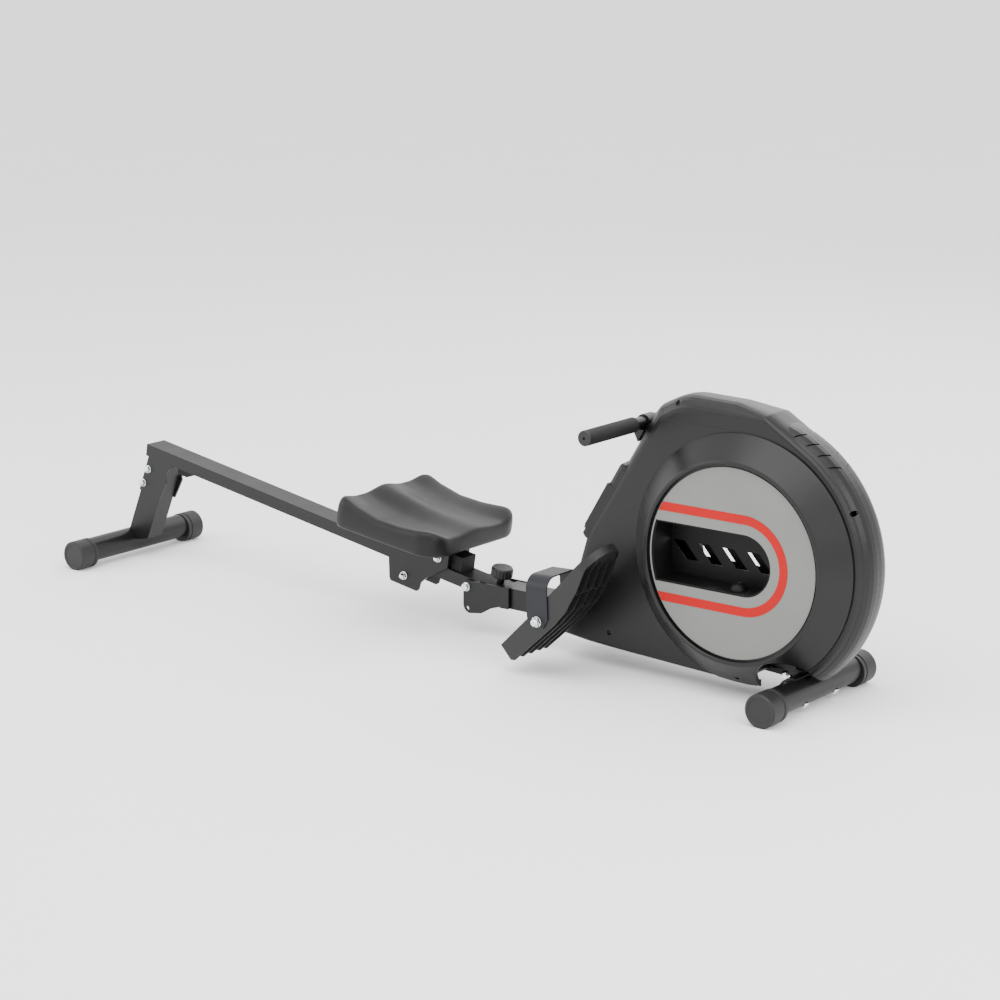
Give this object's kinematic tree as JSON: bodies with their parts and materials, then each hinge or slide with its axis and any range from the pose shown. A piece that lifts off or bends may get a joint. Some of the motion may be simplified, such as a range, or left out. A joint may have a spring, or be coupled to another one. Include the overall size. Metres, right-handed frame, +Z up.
{
  "type": "rowing machine",
  "caption": "Folding magnetic rowing machine: rolling moulded seat on a sloping rail, tilting pedals with straps, pull handle, rounded black flywheel housing with grey disc and red band.",
  "frame": {"origin": "on the floor, below the middle of the machine's length and width", "axes": "+X from the rear foot towards the flywheel housing, +Y to the rower's left, +Z up"},
  "size_m": [1.8375, 0.4114, 0.524],
  "materials": {
    "frame_paint": "satin black powder coat on steel tube",
    "rail_paint": "satin black powder coat, worn smooth where the seat rolls",
    "housing_plastic": "fine-grained black moulded plastic",
    "pocket_plastic": "deep black moulded plastic",
    "disc_grey": "mid grey moulded plastic, low sheen",
    "stripe_red": "glossy red film",
    "cap_plastic": "charcoal moulded plastic",
    "chrome_hardware": "bright plated steel",
    "steel": "turned steel",
    "flywheel_iron": "machined rim, cast web",
    "magnet": "sintered magnet blocks",
    "knob_plastic": "black moulded plastic with flutes",
    "console_plastic": "semi-gloss black plastic",
    "screen": "dark grey-green display window",
    "button_plastic": "glossy red button",
    "foam": "fine-pored black foam grip",
    "webbing": "tight woven nylon webbing",
    "strap_rubber": "smooth dark rubber",
    "pedal_plastic": "dark grey grained plastic",
    "roller_nylon": "off-white nylon",
    "seat_cover": "black moulded seat skin with a soft sheen",
    "rubber_block": "black rubber"
  },
  "bodies": {
    "frame": {"main_frame": "frame_paint", "front_stabiliser": "frame_paint", "front_caps": "cap_plastic", "front_foot_bolts": "chrome_hardware", "front_foot_washers": "chrome_hardware", "front_foot_nuts": "chrome_hardware", "housing_right": "housing_plastic", "housing_left": "housing_plastic", "side_disc_right": "disc_grey", "side_disc_left": "disc_grey", "stripe_right": "stripe_red", "stripe_left": "stripe_red", "window_pocket_right": "pocket_plastic", "window_pocket_left": "pocket_plastic", "housing_screws": "steel", "flywheel_axle": "steel", "flywheel_bearings": "steel", "axle_nuts": "steel", "recoil_spring_case": "housing_plastic", "magnet_pivot_pin": "steel", "tension_cable": "strap_rubber", "speed_sensor": "housing_plastic", "console_case": "console_plastic", "console_screen": "screen", "guide_roller_pin": "steel", "handle_cradle": "housing_plastic", "strap_run": "webbing", "pedal_axle": "steel", "pedal_nuts": "chrome_hardware", "fold_bolt": "chrome_hardware"},
    "rail": {"rail": "rail_paint", "rail_stops": "rubber_block", "rear_stabiliser": "frame_paint", "rear_caps": "cap_plastic", "rear_post_bolts": "chrome_hardware"},
    "seat": {"seat_carriage": "frame_paint", "seat_base": "housing_plastic", "seat_pad": "seat_cover", "carriage_bolts": "chrome_hardware"},
    "roller_front": {"roller_front": "roller_nylon"},
    "roller_rear": {"roller_rear": "roller_nylon"},
    "roller_lower": {"roller_lower": "roller_nylon"},
    "pedal_right": {"pedal_right": "pedal_plastic", "foot_strap_right": "strap_rubber"},
    "pedal_left": {"pedal_left": "pedal_plastic", "foot_strap_left": "strap_rubber"},
    "handle": {"handle_bar": "frame_paint", "handle_grips": "foam", "handle_end_caps": "cap_plastic", "strap_clip": "housing_plastic", "pull_strap": "webbing"},
    "drum": {"strap_drum": "housing_plastic", "wound_strap": "webbing"},
    "guide_roller": {"guide_roller": "housing_plastic"},
    "flywheel": {"flywheel": "flywheel_iron"},
    "magnet_arm": {"magnet_arm": "steel", "magnets": "magnet"},
    "tension_knob": {"tension_knob": "knob_plastic"},
    "console_button": {"console_button": "button_plastic"},
    "lock_knob": {"lock_knob": "knob_plastic"}
  },
  "joints": [
    {"name": "rail_fold", "type": "hinge", "parent": "frame", "child": "rail", "pos_m": [0.039, 0, 0.092], "axis": [0, 1, 0], "range_deg": [0, 48]},
    {"name": "seat_slide", "type": "slide", "parent": "rail", "child": "seat", "axis": [0.9863, 0, -0.165], "range_m": [-0.585, 0]},
    {"name": "roller_front_turn", "type": "hinge", "parent": "seat", "child": "roller_front", "pos_m": [-0.02948, 0, 0.13722], "axis": [0, 1, 0], "range_deg": [-2000, 10]},
    {"name": "roller_rear_turn", "type": "hinge", "parent": "seat", "child": "roller_rear", "pos_m": [-0.12515, 0, 0.15323], "axis": [0, 1, 0], "range_deg": [-2000, 10]},
    {"name": "roller_lower_turn", "type": "hinge", "parent": "seat", "child": "roller_lower", "pos_m": [-0.11575, 0, 0.08819], "axis": [0, 1, 0], "range_deg": [-10, 1700]},
    {"name": "pedal_right_tilt", "type": "hinge", "parent": "frame", "child": "pedal_right", "pos_m": [0.329, -0.139, 0.111], "axis": [0, 1, 0], "range_deg": [-30, 25]},
    {"name": "pedal_left_tilt", "type": "hinge", "parent": "frame", "child": "pedal_left", "pos_m": [0.329, 0.139, 0.111], "axis": [0, 1, 0], "range_deg": [-30, 25]},
    {"name": "handle_pull", "type": "slide", "parent": "frame", "child": "handle", "axis": [-1, 0, 0], "range_m": [0, 1], "stiffness_N_per_m": 12},
    {"name": "drum_spin", "type": "hinge", "parent": "frame", "child": "drum", "pos_m": [0.62, 0, 0.402], "axis": [0, 1, 0], "range_deg": [-1600, 5]},
    {"name": "guide_roller_turn", "type": "hinge", "parent": "frame", "child": "guide_roller", "pos_m": [0.482, 0, 0.444], "axis": [0, 1, 0], "range_deg": [-5600, 5]},
    {"name": "flywheel_spin", "type": "hinge", "parent": "frame", "child": "flywheel", "pos_m": [0.62, 0.023, 0.402], "axis": [0, 1, 0], "continuous": true},
    {"name": "tension_knob_turn", "type": "hinge", "parent": "frame", "child": "tension_knob", "pos_m": [0.38989, 0, 0.36156], "axis": [-0.859, 0, 0.512], "range_deg": [0, 315]},
    {"name": "magnet_arm_swing", "type": "hinge", "parent": "frame", "child": "magnet_arm", "pos_m": [0.725, 0, 0.35], "axis": [0, 1, 0], "range_deg": [0, 5.55]},
    {"name": "console_button_press", "type": "slide", "parent": "frame", "child": "console_button", "axis": [0.859, 0, -0.512], "range_m": [0, 0.0012], "stiffness_N_per_m": 800},
    {"name": "lock_knob_turn", "type": "hinge", "parent": "frame", "child": "lock_knob", "pos_m": [0.09985, 0, 0.12237], "axis": [0.165, 0, 0.9863], "range_deg": [0, 1080]}
  ],
  "couplings": [
    {"joint": "roller_front_turn", "follows": "seat_slide", "rad_per_m": 58.8},
    {"joint": "roller_rear_turn", "follows": "seat_slide", "rad_per_m": 58.8},
    {"joint": "roller_lower_turn", "follows": "seat_slide", "rad_per_m": -50},
    {"joint": "drum_spin", "follows": "handle_pull", "rad_per_m": -27.2},
    {"joint": "guide_roller_turn", "follows": "handle_pull", "rad_per_m": -97},
    {"joint": "magnet_arm_swing", "follows": "tension_knob_turn", "ratio": 0.01746}
  ]
}
